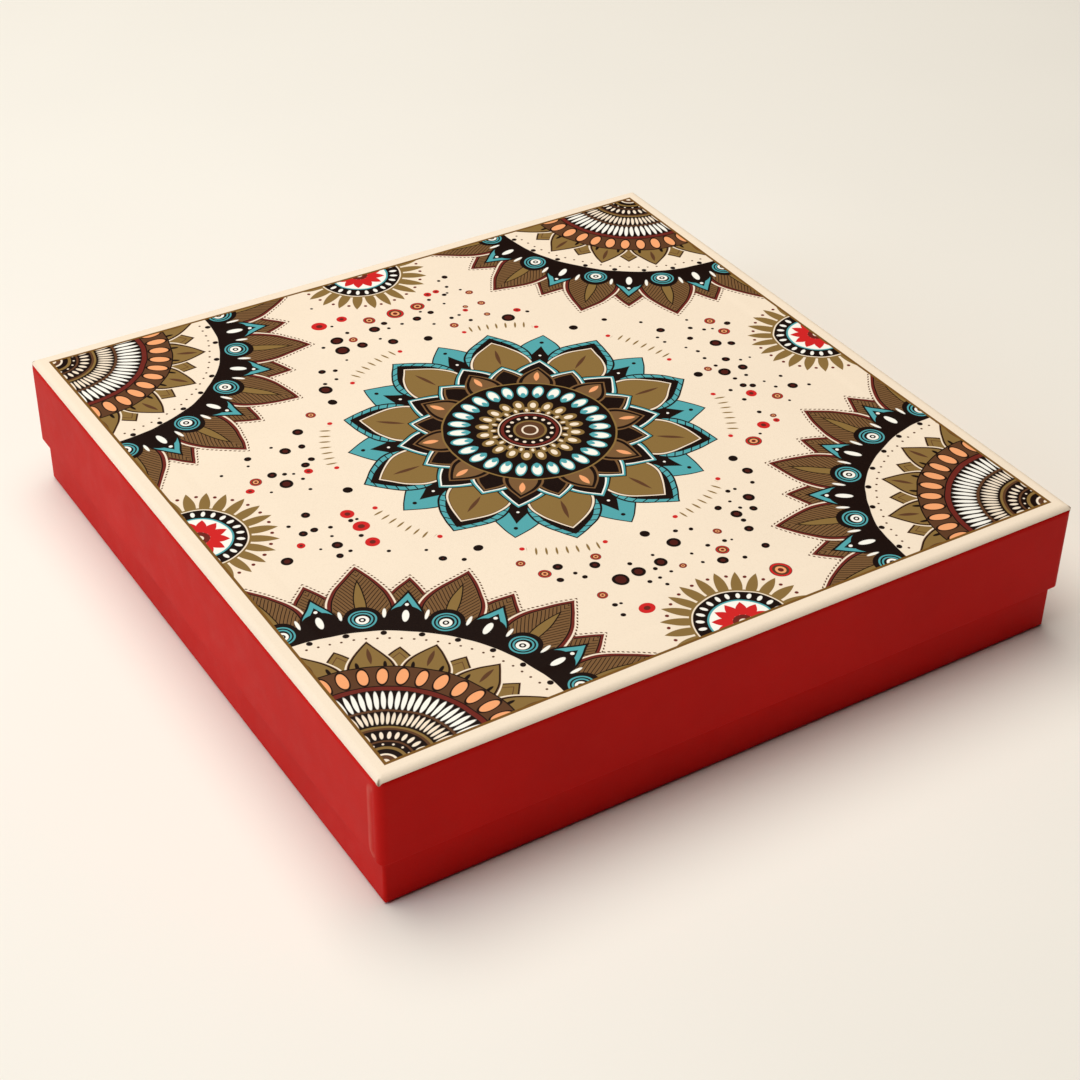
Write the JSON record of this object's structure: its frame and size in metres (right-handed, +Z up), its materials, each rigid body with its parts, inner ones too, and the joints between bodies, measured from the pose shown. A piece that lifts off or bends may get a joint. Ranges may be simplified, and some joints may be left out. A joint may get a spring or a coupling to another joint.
{
  "type": "mithai sweet box",
  "caption": "Low square rigid box of covered greyboard with a deep lift-off lid, a printed top sheet and plain sides, for gift sweets.",
  "frame": {"origin": "centre of the box's underside, where it stands on a table", "axes": "+Z up through the lid, +X to the right and +Y to the back, each square to a pair of sides"},
  "size_m": [0.2052, 0.205, 0.04],
  "materials": {
    "greyboard": "bare grey recycled board",
    "red_paper": "matt laminated, solid red",
    "printed_paper": "matt laminated cream with a printed round and corner ornament",
    "plain_paper": "uncoated cream",
    "lining_paper": "smooth white, food grade",
    "stay_paper": "brown kraft"
  },
  "bodies": {
    "base": {"base_board": "greyboard", "base_side_strip": "red_paper", "base_bottom_sheet": "plain_paper", "base_liner": "lining_paper", "base_corner_stay_front_left": "stay_paper", "base_corner_stay_front_right": "stay_paper", "base_corner_stay_back_right": "stay_paper", "base_corner_stay_back_left": "stay_paper"},
    "lid": {"lid_board": "greyboard", "lid_side_strip": "red_paper", "lid_top_sheet": "printed_paper", "lid_liner": "lining_paper", "lid_corner_stay_front_left": "stay_paper", "lid_corner_stay_front_right": "stay_paper", "lid_corner_stay_back_right": "stay_paper", "lid_corner_stay_back_left": "stay_paper"}
  },
  "joints": [
    {"name": "lid_lift", "type": "slide", "parent": "base", "child": "lid", "axis": [0, 0, 1], "range_m": [0, 0.06]}
  ]
}
